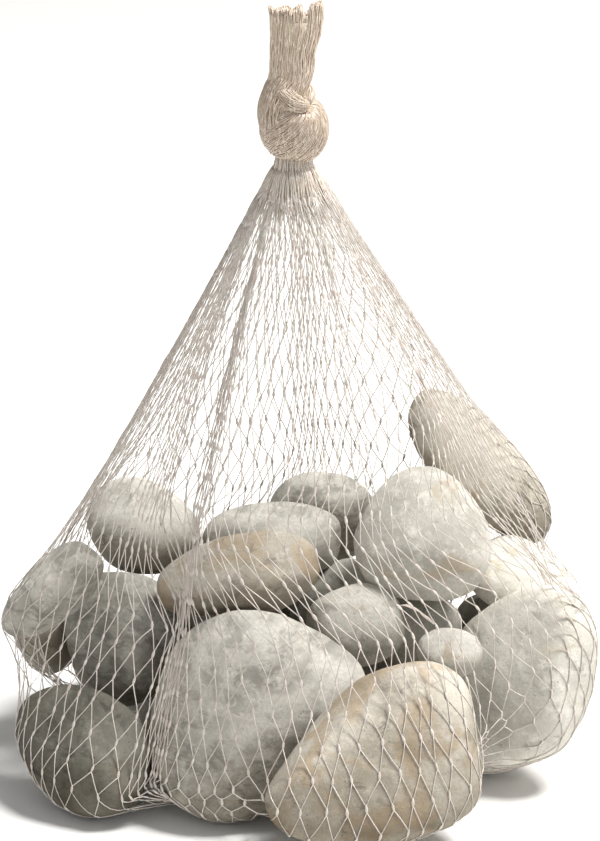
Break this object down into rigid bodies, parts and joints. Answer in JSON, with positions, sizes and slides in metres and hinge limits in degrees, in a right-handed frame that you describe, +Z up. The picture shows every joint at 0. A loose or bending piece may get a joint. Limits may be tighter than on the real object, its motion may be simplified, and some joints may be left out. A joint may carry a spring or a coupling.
{
  "type": "net bag of decorative stones",
  "caption": "Knotted mesh net bag holding a pile of pale rounded beach stones, with an empty cone of net, an overhand knot and a cut tail above",
  "frame": {"origin": "on the floor under the middle of the pile", "axes": "+X to the right seen from the front, +Y to the back, +Z up through the knot"},
  "size_m": [0.2036, 0.153, 0.265],
  "materials": {
    "pale_stone": "matt, water-worn, chalky off-white with grey mottling",
    "warm_stone": "matt, water-worn, beige with ochre stains",
    "grey_stone": "matt, water-worn, grey",
    "net": "fine extruded polyethylene net, translucent beige, slight sheen",
    "clip": "crimped wire, satin"
  },
  "bodies": {
    "root": {"stone_front_centre": "pale_stone", "stone_front_right": "warm_stone", "stone_front_left": "grey_stone", "stone_left": "grey_stone", "stone_right": "pale_stone", "stone_right_back": "pale_stone", "stone_leaning": "warm_stone", "stone_centre_right": "pale_stone", "stone_back_left": "pale_stone", "stone_back_centre": "grey_stone", "stone_back_right": "pale_stone", "stone_outer_low": "warm_stone", "stone_inner_right": "grey_stone", "stone_inner_centre": "grey_stone", "stone_inner_left": "grey_stone", "stone_base_centre": "warm_stone", "stone_base_left": "pale_stone", "stone_base_back": "pale_stone", "stone_base_back_left": "warm_stone", "stone_base_back_right": "pale_stone", "stone_base_right": "grey_stone", "net_belly": "net", "net_cone": "net", "base_gather": "net", "base_clip": "clip"},
    "loose_dome": {"stone_dome": "pale_stone"},
    "loose_ridge": {"stone_ridge": "warm_stone"},
    "loose_mound": {"stone_mound": "pale_stone"},
    "loose_outer_left": {"stone_outer_left": "grey_stone"},
    "loose_small_right": {"stone_small_right": "pale_stone"},
    "neck": {"throat": "net"},
    "knot": {"knot": "net"},
    "tail": {"tail": "net"}
  },
  "joints": [
    {"name": "neck_drop", "type": "slide", "parent": "root", "child": "neck", "axis": [0, 0, 1], "range_m": [-0.03, 0], "deforming": ["net_cone"]},
    {"name": "knot_tilt", "type": "hinge", "parent": "neck", "child": "knot", "pos_m": [-0.002, 0, 0.213], "axis": [0, 1, 0], "range_deg": [-35, 35]},
    {"name": "tail_bend", "type": "hinge", "parent": "knot", "child": "tail", "pos_m": [-0.0035, 0, 0.24], "axis": [1, 0, 0], "range_deg": [-60, 60]},
    {"name": "loose_dome_lift", "type": "slide", "parent": "root", "child": "loose_dome", "axis": [-0.36, -0.48, 0.8], "range_m": [0, 0.012]},
    {"name": "loose_ridge_lift", "type": "slide", "parent": "root", "child": "loose_ridge", "axis": [0, 0, 1], "range_m": [0, 0.012]},
    {"name": "loose_mound_lift", "type": "slide", "parent": "root", "child": "loose_mound", "axis": [0, 0, 1], "range_m": [0, 0.012]},
    {"name": "loose_outer_left_lift", "type": "slide", "parent": "root", "child": "loose_outer_left", "axis": [0.6, 0, 0.8], "range_m": [0, 0.008]},
    {"name": "loose_small_right_lift", "type": "slide", "parent": "root", "child": "loose_small_right", "axis": [0, -0.6, 0.8], "range_m": [0, 0.006]}
  ]
}
